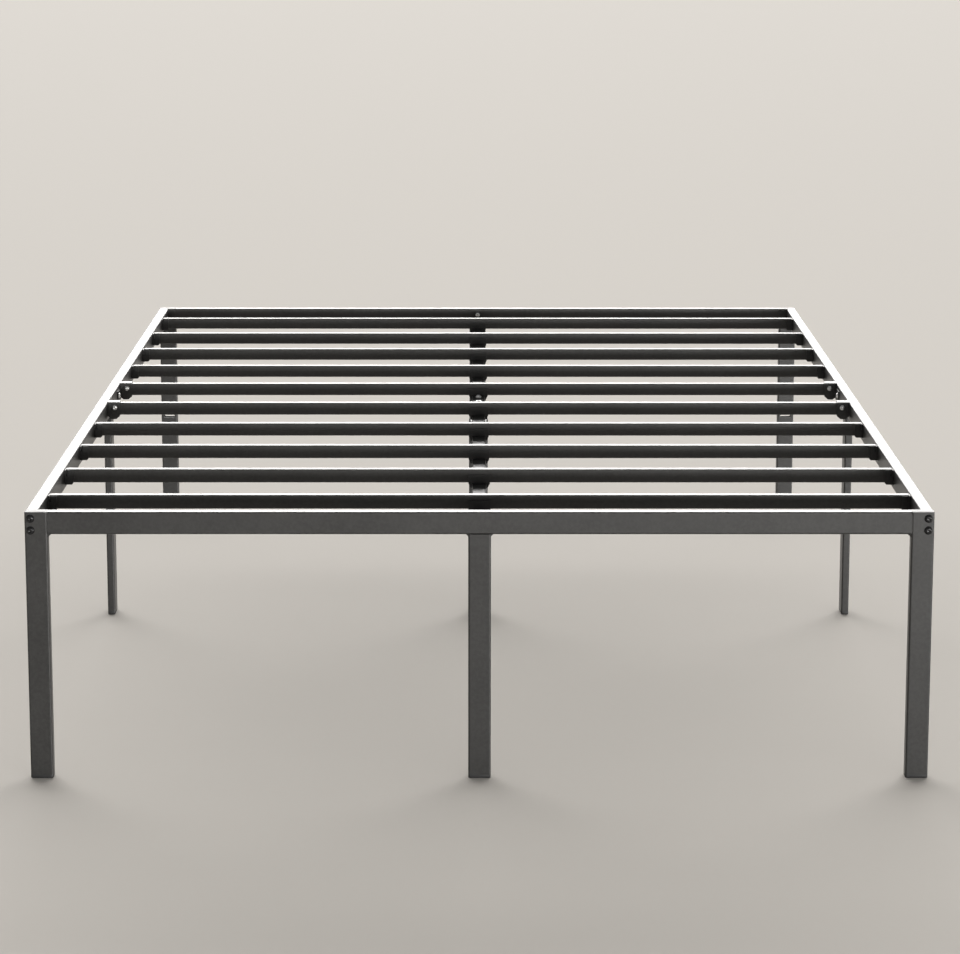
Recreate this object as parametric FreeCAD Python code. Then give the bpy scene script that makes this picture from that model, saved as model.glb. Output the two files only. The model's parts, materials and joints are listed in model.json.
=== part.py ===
import FreeCAD, Part
import math
import os

from FreeCAD import Vector

# A queen-size metal platform bed frame in painted steel tube, in millimetres.
# X runs across the bed, Y along it from the foot end (-Y) to the head end (+Y), Z is up.
# The origin is on the floor under the middle of the bed.
# Two welded end frames carry side rails in three lengths each, and the side rails and a
# centre beam carry the slats. "Left" is the -X side, as seen from the foot end.

# ---- overall sizes: leg face to leg face, and floor to the top of the rails ----
overall_width = 1510.0
overall_length = 2020.0
overall_height = 460.0

# ---- tube sections ----
end_tube_width = 38.0       # legs across X, end rails up Z
end_tube_depth = 20.0       # end frame tubes along Y
side_rail_width = 20.0
side_rail_height = 38.0
middle_leg_width = 15.0     # side legs at mid-length, across X
middle_leg_depth = 38.0     # the same legs, along Y
centre_leg_width = 38.0     # the leg under the middle of the beam, across X
centre_leg_depth = 20.0
slat_height = 24.0
slat_depth = 15.0
beam_width = 25.0
beam_height = 25.0
frame_wall = 1.2
slat_wall = 1.0
frame_corner = 3.0          # outside corner radius of the frame tubes
slat_corner = 2.0

# ---- slats ----
slat_count = 10             # an even number: the middle pair sits at the side rail joints
first_slat_inset = 136.0    # from an end face to the centre of the first slat
slat_drop = 2.0             # slat tops below the rail tops

# ---- clearances ----
slide_gap = 0.25            # a part that slides into a tube, each side
seam_gap = 0.4              # between two side rail lengths
slat_gap = 0.3              # around a slat in its holder or bracket
end_gap = 1.0               # from a slat's end to what it points at
hole_gap = 0.3              # around a bolt in a plain hole, on the radius
thread_gap = 0.05           # around a bolt in a threaded hole, on the radius

# ---- welds ----
weld_recess = 0.5           # a groove weld below the face beside it
end_weld_radius = 7.0       # under an end rail, at a corner leg
centre_weld_radius = 5.0    # beside an end frame's centre leg
middle_weld_radius = 5.0    # beside a middle leg, under its rail

# ---- end plugs and foot caps ----
plug_flange = 1.5
plug_rounding = 0.6         # rounding of a plug's top edge
plug_insert = 4.0
cap_flange = 6.0
cap_insert = 15.0
cap_corner = 2.0            # rounding of a cap's sole
plug_wall = 2.0

# ---- corner bolts: button heads, threaded into a plate inside the side rail's end ----
corner_bolt_radius = 4.0
corner_head_radius = 7.0
corner_head_height = 4.4
corner_socket_width = 5.0   # across the flats of the hexagon
corner_socket_depth = 2.6
corner_bolt_drop = 11.0     # upper bolt, below the rail's top
corner_bolt_rise = 7.0      # lower bolt, above the rail's bottom
corner_bolt_spare = 2.0     # thread that stands past the plate
nut_plate_thickness = 6.0

# ---- side rail joints ----
joiner_wall = 2.0
joiner_length = 110.0
bracket_plate = 2.0
bracket_reach = 24.0        # from the rail along the slat
bracket_skirt = 6.0         # front and back walls below the bracket's floor
bracket_chamfer = 7.0
bracket_tail_length = 45.0  # along the rail, past the slat, towards the middle leg
bracket_tail_drop = 9.0     # tail's top edge below the rail's top
bracket_tail_height = 20.0
tail_screw_margin = 12.0    # from the tail's end to its screw
tail_screw_spare = 1.0
joint_bolt_radius = 3.0
joint_head_radius = 5.25
joint_head_height = 3.3
joint_socket_width = 4.0
joint_socket_depth = 2.0
joint_bolt_inset = 14.0     # from the rail's inner face
joint_bolt_drop = 11.0      # below the rail's top
joint_nut_width = 10.0      # across the flats
joint_nut_height = 5.0
joint_bolt_spare = 2.0

# ---- slat holders at the side rails ----
holder_flange = 2.5         # against the rail
holder_gap = 2.5            # between that flange and the cradle
holder_length = 15.0        # from the rail to the cradle's inner end
holder_wall = 1.8
holder_floor = 3.0
holder_lip_drop = 1.0       # cradle walls below the slat's top
holder_neck_share = 0.5     # the neck's height as a share of the slat's
holder_chamfer = 2.5
peg_radius = 3.5
peg_length = 6.0
peg_hole_gap = 0.2

# ---- saddles on the centre beam ----
saddle_floor = 1.5
saddle_wall = 1.8
saddle_length = 38.0
saddle_rise = 15.0
saddle_cheek = 2.0          # thickness of the cheeks that grip the beam's two sides
saddle_grip = 8.0           # how far the cheeks reach down

# ---- centre beam joint and end brackets ----
channel_plate = 3.0
channel_margin = 20.0       # channel past its outer bolts
channel_wall_rise = 12.0
beam_bolt_radius = 4.0
beam_bolt_margin = 0.5      # from an outer bolt's head to the saddle beside it
beam_bolt_inner = 28.0      # inner bolts from the bed's middle
beam_nut_width = 13.0
beam_nut_height = 6.5
beam_bolt_spare = 2.0
tab_width = 14.0
tab_thickness = 3.0
tab_drop = 7.0              # the tab's round top below the rail's top

# ---- headboard slots in the head end's corner legs ----
slot_length = 26.0
slot_width = 7.0
slot_height = 200.0         # above the floor

# ---- worked out from the sizes above ----
half_width = overall_width / 2
half_length = overall_length / 2
rail_top = overall_height
rail_bottom = rail_top - side_rail_height
end_rail_bottom = rail_top - end_tube_width
rail_inner_x = half_width - side_rail_width
rail_centre_x = half_width - side_rail_width / 2
leg_centre_x = half_width - end_tube_width / 2
end_centre_y = half_length - end_tube_depth / 2
end_inner_y = half_length - end_tube_depth
slat_top = rail_top - slat_drop
slat_bottom = slat_top - slat_height
slat_pitch = (overall_length - 2 * first_slat_inset) / (slat_count - 1)
seam_y = slat_pitch / 2
beam_top = slat_bottom - saddle_floor
beam_bottom = beam_top - beam_height
slat_half_room = slat_depth / 2 + slat_gap
cradle_bottom = slat_bottom - slat_gap - holder_floor
sleeve_half_depth = slat_half_room + bracket_plate
sleeve_floor = slat_bottom - slat_gap - bracket_plate
saddle_half_depth = slat_half_room + saddle_wall
beam_bolt_outer = seam_y - saddle_half_depth - beam_bolt_margin - corner_head_radius
tab_bolt_height = rail_top - tab_drop - tab_width / 2

SIDES = {"left": -1, "right": 1}
ENDS = {"foot": -1, "head": 1}
STATIONS = {"front": -1, "rear": 1}
X_AXIS = Vector(1, 0, 0)
Y_AXIS = Vector(0, 1, 0)
Z_AXIS = Vector(0, 0, 1)


# ---- shapes that several pieces share ----

def box(x_range, y_range, z_range):
    """A box between pairs of coordinates, given in either order."""
    lows = [min(pair) for pair in (x_range, y_range, z_range)]
    sizes = [abs(pair[1] - pair[0]) for pair in (x_range, y_range, z_range)]
    return Part.makeBox(*sizes, Vector(*lows))


def rod(start, axis, radius, length):
    """A round bar from a point, along an axis."""
    return Part.makeCylinder(radius, length, start, axis)


def hexagon_bar(start, axis, width, length):
    """A hexagonal bar, measured across its flats."""
    corner = width / math.sqrt(3)
    points = []
    for step in range(7):
        angle = math.radians(60 * step)
        points.append(Vector(corner * math.cos(angle), corner * math.sin(angle), 0))
    bar = Part.Face(Part.makePolygon(points)).extrude(Z_AXIS * length)
    bar.Placement = FreeCAD.Placement(start, FreeCAD.Rotation(Z_AXIS, axis))
    return bar


def section_wire(size_x, size_y, radius):
    """A rectangle with round corners, about the origin in the XY plane."""
    far_x = size_x / 2
    far_y = size_y / 2
    diagonal = radius * math.cos(math.radians(45))
    edges = []
    for turn, (sx, sy) in enumerate(((1, 1), (-1, 1), (-1, -1), (1, -1))):
        centre = Vector(sx * (far_x - radius), sy * (far_y - radius), 0)
        on_x = centre + Vector(sx * radius, 0, 0)
        on_y = centre + Vector(0, sy * radius, 0)
        middle = centre + Vector(sx * diagonal, sy * diagonal, 0)
        first, last = (on_x, on_y) if turn % 2 == 0 else (on_y, on_x)
        if edges:
            edges.append(Part.makeLine(edges[-1].Vertexes[-1].Point, first))
        edges.append(Part.Arc(first, middle, last).toShape())
    edges.append(Part.makeLine(edges[-1].Vertexes[-1].Point, edges[0].Vertexes[0].Point))
    return Part.Wire(edges)


def bar(size_x, size_y, radius, length):
    """A solid bar with round corners, standing on the XY plane."""
    return Part.Face(section_wire(size_x, size_y, radius)).extrude(Z_AXIS * length)


def tube(size_x, size_y, wall, radius, length):
    """A rectangular tube with round corners, standing on the XY plane."""
    inner = bar(size_x - 2 * wall, size_y - 2 * wall, max(radius - wall, wall / 2), length)
    return bar(size_x, size_y, radius, length).cut(inner)


def along_x(shape, x, y, z):
    """Lays an upright shape along +X, its local X turned down to -Z, and starts it at a point."""
    turned = shape.copy()
    turned.rotate(Vector(0, 0, 0), Y_AXIS, 90)
    turned.translate(Vector(x, y, z))
    return turned


def along_y(shape, x, y, z):
    """Lays an upright shape along +Y, its local Y turned down to -Z, and starts it at a point."""
    turned = shape.copy()
    turned.rotate(Vector(0, 0, 0), X_AXIS, -90)
    turned.translate(Vector(x, y, z))
    return turned


def upright(shape, x, y, z):
    """Stands an upright shape at a point."""
    moved = shape.copy()
    moved.translate(Vector(x, y, z))
    return moved


def button_bolt(seat, axis, radius, length, head_radius, head_height, socket_width, socket_depth):
    """A button-head bolt: its shank runs from the seat along the axis, its head stands behind it."""
    rise = head_height
    dome_radius = (head_radius ** 2 + rise ** 2) / (2 * rise)
    dome = Part.makeSphere(dome_radius, seat - axis * rise + axis * dome_radius)
    head = rod(seat - axis * rise, axis, head_radius, rise).common(dome)
    socket = hexagon_bar(seat - axis * (rise + 1), axis, socket_width, socket_depth + 1)
    return head.fuse(rod(seat, axis, radius, length)).cut(socket).removeSplitter()


def hex_nut(seat, axis, radius, width, height):
    """A hexagon nut on its seat, with its corners taken off by a cone at each end."""
    blank = hexagon_bar(seat, axis, width, height)
    outer = width / math.sqrt(3)
    taper = (outer - width / 2) * math.tan(math.radians(30))
    rounder = Part.makeCylinder(outer, height - 2 * taper, seat + axis * taper, axis)
    rounder = rounder.fuse(Part.makeCone(width / 2, outer, taper, seat, axis))
    top = seat + axis * (height - taper)
    rounder = rounder.fuse(Part.makeCone(outer, width / 2, taper, top, axis))
    return blank.common(rounder).cut(rod(seat, axis, radius + thread_gap, height))


def corner_fillet(x, z, towards_x, radius, y_range):
    """A weld with a hollow face, in the corner under a rail and beside a leg."""
    block = box((x, x + towards_x * radius), y_range, (z - radius, z))
    centre = Vector(x + towards_x * radius, min(y_range), z - radius)
    return block.cut(rod(centre, Y_AXIS, radius, abs(y_range[1] - y_range[0])))


# ---- end frames: a rail between two corner legs, and a centre leg under it ----

def corner_bolt_heights():
    return (rail_top - corner_bolt_drop, rail_bottom + corner_bolt_rise)


def corner_leg(side, end):
    """A corner leg, drilled for its two bolts; the head end's legs have a headboard slot."""
    length = rail_top - plug_flange - cap_flange
    leg = tube(end_tube_width, end_tube_depth, frame_wall, frame_corner, length)
    leg = upright(leg, side * leg_centre_x, end * end_centre_y, cap_flange)
    start_y = end_centre_y * end - end_tube_depth
    for height in corner_bolt_heights():
        hole_start = Vector(side * rail_centre_x, start_y, height)
        leg = leg.cut(rod(hole_start, Y_AXIS, corner_bolt_radius + hole_gap, 2 * end_tube_depth))
    if end > 0:
        straight = (slot_length - slot_width) / 2
        centre_x = side * leg_centre_x
        z_range = (slot_height - slot_width / 2, slot_height + slot_width / 2)
        y_range = (start_y, start_y + 2 * end_tube_depth)
        slot = box((centre_x - straight, centre_x + straight), y_range, z_range)
        for shift in (-straight, straight):
            round_end = Vector(centre_x + shift, start_y, slot_height)
            slot = slot.fuse(rod(round_end, Y_AXIS, slot_width / 2, 2 * end_tube_depth))
        leg = leg.cut(slot)
    return leg


def end_rail(end):
    """The rail between the corner legs, drilled in its inner wall for the beam bracket's bolt."""
    length = overall_width - 2 * end_tube_width
    rail = tube(end_tube_width, end_tube_depth, frame_wall, frame_corner, length)
    rail = along_x(rail, -length / 2, end * end_centre_y, rail_top - end_tube_width / 2)
    start = Vector(0, end * end_centre_y, tab_bolt_height)
    return rail.cut(rod(start, Y_AXIS * -end, joint_bolt_radius + thread_gap, end_tube_depth))


def end_centre_leg(end):
    length = end_rail_bottom - cap_flange
    leg = tube(end_tube_width, end_tube_depth, frame_wall, frame_corner, length)
    return upright(leg, 0, end * end_centre_y, cap_flange)


def end_frame_welds(end):
    """Groove welds where the rail meets the corner legs, and fillets under the rail."""
    solids = []
    flat = end_tube_depth / 2 - frame_corner
    y_range = (end * end_centre_y - flat, end * end_centre_y + flat)
    seam_x = half_width - end_tube_width
    for side in SIDES.values():
        solids.append(corner_fillet(side * seam_x, end_rail_bottom, -side, end_weld_radius, y_range))
        solids.append(corner_fillet(side * end_tube_width / 2, end_rail_bottom, side,
                                    centre_weld_radius, y_range))
        for face in (-1, 1):
            face_y = end * end_centre_y + face * end_tube_depth / 2
            groove = box((side * seam_x, side * (seam_x + frame_corner)),
                         (face_y - face * weld_recess, face_y - face * frame_corner),
                         (end_rail_bottom, rail_top - frame_corner))
            round_axis = Vector(side * (seam_x + frame_corner), face_y - face * frame_corner,
                                end_rail_bottom)
            solids.append(groove.cut(rod(round_axis, Z_AXIS, frame_corner, end_tube_width)))
    return solids


# ---- plugs in the leg tops and caps on the feet ----

def leg_top_plug(side, end):
    """A flat plug: a flange with softened edges over a ring that fits the leg's bore."""
    base = rail_top - plug_flange
    flange = bar(end_tube_width, end_tube_depth, frame_corner, plug_flange)
    rim = [edge for edge in flange.Edges if edge.BoundBox.ZMin > plug_flange - 0.01]
    flange = flange.makeFillet(plug_rounding, rim)
    ring_x = end_tube_width - 2 * (frame_wall + slide_gap)
    ring_y = end_tube_depth - 2 * (frame_wall + slide_gap)
    ring = tube(ring_x, ring_y, plug_wall, frame_corner - frame_wall, plug_insert)
    plug = flange.fuse(upright(ring, 0, 0, -plug_insert)).removeSplitter()
    return upright(plug, side * leg_centre_x, end * end_centre_y, base)


def foot_cap(size_x, size_y, x, y):
    """A cap flush with the leg, with a rounded sole and a hollow stem inside the tube."""
    sole = bar(size_x, size_y, frame_corner, cap_flange)
    rim = [edge for edge in sole.Edges if edge.BoundBox.ZMax < 0.01]
    sole = sole.makeFillet(cap_corner, rim)
    stem_x = size_x - 2 * (frame_wall + slide_gap)
    stem_y = size_y - 2 * (frame_wall + slide_gap)
    stem = tube(stem_x, stem_y, plug_wall, frame_corner - frame_wall, cap_insert)
    return upright(sole.fuse(upright(stem, 0, 0, cap_flange)).removeSplitter(), x, y, 0)


# ---- side rails: a front, a middle and a rear length on each side ----

def holder_positions():
    """Centres of the slats that sit in holders: all but the middle pair."""
    return [y for y in slat_centres() if abs(y) > slat_pitch]


def slat_centres():
    """The centre y of each slat, from the foot end to the head end."""
    first = -half_length + first_slat_inset
    return [first + index * slat_pitch for index in range(slat_count)]


def peg_height():
    return slat_bottom + slat_height * holder_neck_share / 2


def side_rail(side, start_y, end_y):
    """One length of side rail, with peg holes in its inner wall."""
    rail = tube(side_rail_width, side_rail_height, frame_wall, frame_corner, end_y - start_y)
    rail = along_y(rail, side * rail_centre_x, start_y, rail_top - side_rail_height / 2)
    for y in holder_positions():
        if start_y < y < end_y:
            start = Vector(side * rail_centre_x, y, peg_height())
            rail = rail.cut(rod(start, X_AXIS * -side, peg_radius + peg_hole_gap, side_rail_width))
    for station in STATIONS.values():
        screw = tail_screw_seat(side, station)
        if start_y < screw.y < end_y:
            start = Vector(side * rail_centre_x, screw.y, screw.z)
            rail = rail.cut(rod(start, X_AXIS * -side, joint_bolt_radius + hole_gap, side_rail_width))
    return rail


def outer_rail(side, station):
    """The rail from an end frame's leg to the joint."""
    near = seam_y + seam_gap / 2
    ends = sorted((station * near, station * end_inner_y))
    return side_rail(side, ends[0], ends[1])


def middle_rail(side):
    near = seam_y - seam_gap / 2
    return side_rail(side, -near, near)


def nut_plate(side, station):
    """The threaded plate welded inside a side rail's end."""
    size_x = side_rail_width - 2 * (frame_wall + slide_gap)
    size_z = side_rail_height - 2 * (frame_wall + slide_gap)
    plate = bar(size_x, size_z, frame_corner - frame_wall, nut_plate_thickness)
    start_y = min(station * end_inner_y, station * (end_inner_y - nut_plate_thickness))
    plate = along_y(plate, side * rail_centre_x, start_y, rail_top - side_rail_height / 2)
    for height in corner_bolt_heights():
        start = Vector(side * rail_centre_x, start_y, height)
        plate = plate.cut(rod(start, Y_AXIS, corner_bolt_radius + thread_gap, nut_plate_thickness))
    return plate


def corner_bolts():
    """Two button-head bolts through each corner leg into the side rail's nut plate."""
    length = end_tube_depth + nut_plate_thickness + corner_bolt_spare
    bolts = []
    for side in SIDES.values():
        for end in ENDS.values():
            for height in corner_bolt_heights():
                seat = Vector(side * rail_centre_x, end * half_length, height)
                bolts.append(button_bolt(seat, Y_AXIS * -end, corner_bolt_radius, length,
                                         corner_head_radius, corner_head_height,
                                         corner_socket_width, corner_socket_depth))
    return bolts


def rail_joiner(side, station):
    """The sleeve inside a side rail joint, threaded for the bracket's tail screw."""
    size_x = side_rail_width - 2 * (frame_wall + slide_gap)
    size_z = side_rail_height - 2 * (frame_wall + slide_gap)
    sleeve = tube(size_x, size_z, joiner_wall, frame_corner - frame_wall, joiner_length)
    sleeve = along_y(sleeve, side * rail_centre_x, station * seam_y - joiner_length / 2,
                     rail_top - side_rail_height / 2)
    screw = tail_screw_seat(side, station)
    start = Vector(side * rail_centre_x, screw.y, screw.z)
    return sleeve.cut(rod(start, X_AXIS * -side, joint_bolt_radius + thread_gap, side_rail_width))


# ---- side legs at mid-length, welded under the middle rails ----

def middle_leg(side):
    length = rail_bottom - cap_flange
    leg = tube(middle_leg_width, middle_leg_depth, frame_wall, frame_corner, length)
    return upright(leg, side * (half_width - middle_leg_width / 2), 0, cap_flange)


def middle_leg_welds():
    """A fillet in front of and behind each side leg, under its rail."""
    solids = []
    flat = middle_leg_width / 2 - frame_corner
    reach = middle_weld_radius
    for side in SIDES.values():
        centre_x = side * (half_width - middle_leg_width / 2)
        for way in (-1, 1):
            y = way * middle_leg_depth / 2
            block = box((centre_x - flat, centre_x + flat), (y, y + way * reach),
                        (rail_bottom - reach, rail_bottom))
            start = Vector(centre_x - flat, y + way * reach, rail_bottom - reach)
            solids.append(block.cut(rod(start, X_AXIS, reach, 2 * flat)))
    return solids


# ---- joint brackets: a sleeve round the slat's end, with a tail along the rail ----

def tail_end(station):
    return station * (seam_y - sleeve_half_depth - bracket_tail_length)


def tail_screw_seat(side, station):
    """Where the tail screw's head sits on the bracket."""
    height = rail_top - bracket_tail_drop - bracket_tail_height / 2
    return Vector(side * (rail_inner_x - bracket_plate),
                  tail_end(station) + station * tail_screw_margin, height)


def joint_bracket(side, station):
    centre_y = station * seam_y
    far_x = side * rail_inner_x
    near_x = side * (rail_inner_x - bracket_reach)
    y_range = (centre_y - sleeve_half_depth, centre_y + sleeve_half_depth)
    bracket = box((far_x, near_x), y_range, (sleeve_floor, rail_top))
    room = box((side * (rail_inner_x - bracket_plate), near_x - side),
               (centre_y - slat_half_room, centre_y + slat_half_room),
               (slat_bottom - slat_gap, slat_top))
    bracket = bracket.cut(room)
    skirt_bottom = sleeve_floor - bracket_skirt
    for way in (-1, 1):
        inner = centre_y + way * slat_half_room
        outer = centre_y + way * sleeve_half_depth
        outline = [
            Vector(near_x, inner, sleeve_floor),
            Vector(near_x + side * bracket_chamfer, inner, skirt_bottom),
            Vector(far_x - side * bracket_chamfer, inner, skirt_bottom),
            Vector(far_x, inner, sleeve_floor),
        ]
        face = Part.Face(Part.makePolygon(outline + outline[:1]))
        bracket = bracket.fuse(face.extrude(Vector(0, outer - inner, 0)))
    tail_top = rail_top - bracket_tail_drop
    tail = box((far_x, side * (rail_inner_x - bracket_plate)), (centre_y, tail_end(station)),
               (tail_top - bracket_tail_height, tail_top))
    bracket = bracket.fuse(tail)
    bolt_start = joint_bolt_seat(side, station)
    bracket = bracket.cut(rod(bolt_start, Y_AXIS, joint_bolt_radius + hole_gap,
                              2 * sleeve_half_depth))
    screw_start = tail_screw_seat(side, station)
    bracket = bracket.cut(rod(screw_start, X_AXIS * side, joint_bolt_radius + hole_gap,
                              bracket_plate))
    return bracket.removeSplitter()


def joint_bolt_seat(side, station):
    """On the bracket's face towards the foot end, for the bolt through the slat."""
    return Vector(side * (rail_inner_x - joint_bolt_inset),
                  station * seam_y - sleeve_half_depth, rail_top - joint_bolt_drop)


def joint_bolts():
    length = 2 * sleeve_half_depth + joint_nut_height + joint_bolt_spare
    return [button_bolt(joint_bolt_seat(side, station), Y_AXIS, joint_bolt_radius, length,
                        joint_head_radius, joint_head_height,
                        joint_socket_width, joint_socket_depth)
            for side in SIDES.values() for station in STATIONS.values()]


def joint_nuts():
    past = Y_AXIS * (2 * sleeve_half_depth)
    return [hex_nut(joint_bolt_seat(side, station) + past, Y_AXIS, joint_bolt_radius,
                    joint_nut_width, joint_nut_height)
            for side in SIDES.values() for station in STATIONS.values()]


def tail_screws():
    """Screws through the bracket tails and the middle rails into the joiners."""
    length = bracket_plate + frame_wall + slide_gap + joiner_wall + tail_screw_spare
    return [button_bolt(tail_screw_seat(side, station), X_AXIS * side, joint_bolt_radius, length,
                        joint_head_radius, joint_head_height,
                        joint_socket_width, joint_socket_depth)
            for side in SIDES.values() for station in STATIONS.values()]


# ---- slats, their holders and their saddles ----

def slat(centre_y):
    """One slat. The middle pair is drilled for the joint bolts."""
    in_bracket = abs(centre_y) < slat_pitch
    stop_x = rail_inner_x - (bracket_plate if in_bracket else holder_flange) - end_gap
    piece = tube(slat_height, slat_depth, slat_wall, slat_corner, 2 * stop_x)
    piece = along_x(piece, -stop_x, centre_y, slat_bottom + slat_height / 2)
    if in_bracket:
        station = 1 if centre_y > 0 else -1
        for side in SIDES.values():
            start = joint_bolt_seat(side, station)
            piece = piece.cut(rod(start, Y_AXIS, joint_bolt_radius + hole_gap,
                                  2 * sleeve_half_depth))
    return piece


def slat_holder(side, centre_y):
    """A moulded cradle open at the top, a flange against the rail, and a peg into its hole."""
    y_range = (centre_y - slat_half_room - holder_wall, centre_y + slat_half_room + holder_wall)
    lip = slat_top - holder_lip_drop
    rail_face = side * rail_inner_x
    flange_face = side * (rail_inner_x - holder_flange)
    outer_end = side * (rail_inner_x - holder_flange - holder_gap)
    inner_end = side * (rail_inner_x - holder_length)
    cradle = box((outer_end, inner_end), y_range, (cradle_bottom, lip))
    lower = [edge for edge in cradle.Edges
             if edge.BoundBox.ZMax < cradle_bottom + 0.01
             and abs(edge.CenterOfMass.x - inner_end) < 0.01]
    cradle = cradle.makeChamfer(holder_chamfer, lower)
    neck_top = slat_bottom + slat_height * holder_neck_share
    neck = box((flange_face, outer_end), y_range, (cradle_bottom, neck_top))
    flange = box((rail_face, flange_face), y_range, (cradle_bottom, lip))
    room = box((flange_face, inner_end - side),
               (centre_y - slat_half_room, centre_y + slat_half_room),
               (slat_bottom - slat_gap, rail_top))
    holder = cradle.fuse(neck).fuse(flange).cut(room)
    peg = rod(Vector(rail_face, centre_y, peg_height()), X_AXIS * side, peg_radius, peg_length)
    return holder.fuse(peg).removeSplitter()


def beam_saddle(centre_y):
    """A moulded saddle that grips the beam and holds a slat between two low walls."""
    half_span = saddle_length / 2
    half_grip = beam_width / 2 + slat_gap + saddle_cheek
    y_range = (centre_y - saddle_half_depth, centre_y + saddle_half_depth)
    wall_top = slat_bottom + saddle_rise
    grip_bottom = beam_top - saddle_grip
    outline = [
        Vector(-half_span, y_range[0], wall_top),
        Vector(half_span, y_range[0], wall_top),
        Vector(half_span, y_range[0], beam_top),
        Vector(half_grip, y_range[0], grip_bottom),
        Vector(-half_grip, y_range[0], grip_bottom),
        Vector(-half_span, y_range[0], beam_top),
    ]
    face = Part.Face(Part.makePolygon(outline + outline[:1]))
    block = face.extrude(Y_AXIS * (2 * saddle_half_depth))
    room = box((-half_span, half_span), (centre_y - slat_half_room, centre_y + slat_half_room),
               (slat_bottom, wall_top))
    over_beam = box((-beam_width / 2 - slat_gap, beam_width / 2 + slat_gap), y_range,
                    (grip_bottom, beam_top))
    return block.cut(room).cut(over_beam)


# ---- centre beam, its joint over the middle leg and its end brackets ----

def beam_bolt_places():
    return [way * place for way in (-1, 1) for place in (beam_bolt_inner, beam_bolt_outer)]


def centre_beam(station):
    """Half of the centre beam, from an end bracket to the bed's middle."""
    inner = seam_gap / 2
    outer = end_inner_y - tab_thickness
    ends = sorted((station * inner, station * outer))
    beam = tube(beam_width, beam_height, frame_wall, frame_corner, ends[1] - ends[0])
    beam = along_y(beam, 0, ends[0], beam_top - beam_height / 2)
    for place in beam_bolt_places():
        start = Vector(0, place, beam_bottom)
        beam = beam.cut(rod(start, Z_AXIS, beam_bolt_radius + hole_gap, beam_height))
    return beam


def beam_channel():
    """The folded channel under the beam joint; the middle leg is welded to it."""
    inner = beam_width / 2 + slide_gap
    outer = inner + channel_plate
    reach = beam_bolt_outer + channel_margin
    wall_top = beam_bottom + channel_wall_rise
    channel = box((-outer, outer), (-reach, reach), (beam_bottom - channel_plate, wall_top))
    channel = channel.cut(box((-inner, inner), (-reach, reach), (beam_bottom, wall_top)))
    for place in beam_bolt_places():
        start = Vector(0, place, beam_bottom - channel_plate)
        channel = channel.cut(rod(start, Z_AXIS, beam_bolt_radius + hole_gap, channel_plate))
    return channel


def centre_leg():
    top = beam_bottom - channel_plate
    leg = tube(centre_leg_width, centre_leg_depth, frame_wall, frame_corner, top - cap_flange)
    return upright(leg, 0, 0, cap_flange)


def beam_bolts():
    length = beam_height + channel_plate + beam_nut_height + beam_bolt_spare
    return [button_bolt(Vector(0, place, beam_top), Z_AXIS * -1, beam_bolt_radius, length,
                        corner_head_radius, corner_head_height,
                        corner_socket_width, corner_socket_depth)
            for place in beam_bolt_places()]


def beam_nuts():
    return [hex_nut(Vector(0, place, beam_bottom - channel_plate), Z_AXIS * -1,
                    beam_bolt_radius, beam_nut_width, beam_nut_height)
            for place in beam_bolt_places()]


def beam_end_bracket(end):
    """The plate on a beam's end, with a round-topped tab that is bolted to the end rail."""
    y_range = (end * end_inner_y, end * (end_inner_y - tab_thickness))
    plate = box((-beam_width / 2, beam_width / 2), y_range, (beam_bottom, beam_top))
    tab = box((-tab_width / 2, tab_width / 2), y_range, (beam_top, tab_bolt_height))
    start = Vector(0, min(y_range), tab_bolt_height)
    round_top = rod(start, Y_AXIS, tab_width / 2, tab_thickness)
    hole = rod(start, Y_AXIS, joint_bolt_radius + hole_gap, tab_thickness)
    return plate.fuse(tab).fuse(round_top).cut(hole).removeSplitter()


def end_bracket_bolts():
    """A bolt through each tab, threaded into the end rail's inner wall."""
    length = tab_thickness + frame_wall + joint_bolt_spare
    return [button_bolt(Vector(0, end * (end_inner_y - tab_thickness), tab_bolt_height),
                        Y_AXIS * end, joint_bolt_radius, length,
                        joint_head_radius, joint_head_height,
                        joint_socket_width, joint_socket_depth)
            for end in ENDS.values()]


# ---- the assembly: one entry per node; a list is a node of separate solids ----

def end_frame_pieces():
    pieces = {}
    for end_name, end in ENDS.items():
        pieces[end_name + "_rail"] = end_rail(end)
        pieces[end_name + "_leg_centre"] = end_centre_leg(end)
        pieces[end_name + "_frame_welds"] = end_frame_welds(end)
        for side_name, side in SIDES.items():
            pieces[end_name + "_leg_" + side_name] = corner_leg(side, end)
    return pieces


def plug_and_cap_pieces():
    corners = [(side, end) for side in SIDES.values() for end in ENDS.values()]
    end_feet = [(side * leg_centre_x, end * end_centre_y) for side, end in corners]
    end_feet += [(0, end * end_centre_y) for end in ENDS.values()]
    middle_x = half_width - middle_leg_width / 2
    return {
        "leg_top_plugs": [leg_top_plug(side, end) for side, end in corners],
        "end_foot_caps": [foot_cap(end_tube_width, end_tube_depth, x, y) for x, y in end_feet],
        "middle_foot_caps": [foot_cap(middle_leg_width, middle_leg_depth, side * middle_x, 0)
                             for side in SIDES.values()],
        "centre_foot_cap": foot_cap(centre_leg_width, centre_leg_depth, 0, 0),
    }


def side_pieces():
    joints = [(side, station) for side in SIDES.values() for station in STATIONS.values()]
    pieces = {
        "middle_leg_welds": middle_leg_welds(),
        "nut_plates": [nut_plate(side, station) for side, station in joints],
        "corner_bolts": corner_bolts(),
        "rail_joiners": [rail_joiner(side, station) for side, station in joints],
        "joint_bolts": joint_bolts(),
        "joint_nuts": joint_nuts(),
        "tail_screws": tail_screws(),
    }
    for side_name, side in SIDES.items():
        pieces["middle_rail_" + side_name] = middle_rail(side)
        pieces["middle_leg_" + side_name] = middle_leg(side)
        for station_name, station in STATIONS.items():
            place = station_name + "_" + side_name
            pieces["side_rail_" + place] = outer_rail(side, station)
            pieces["joint_bracket_" + place] = joint_bracket(side, station)
    return pieces


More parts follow.
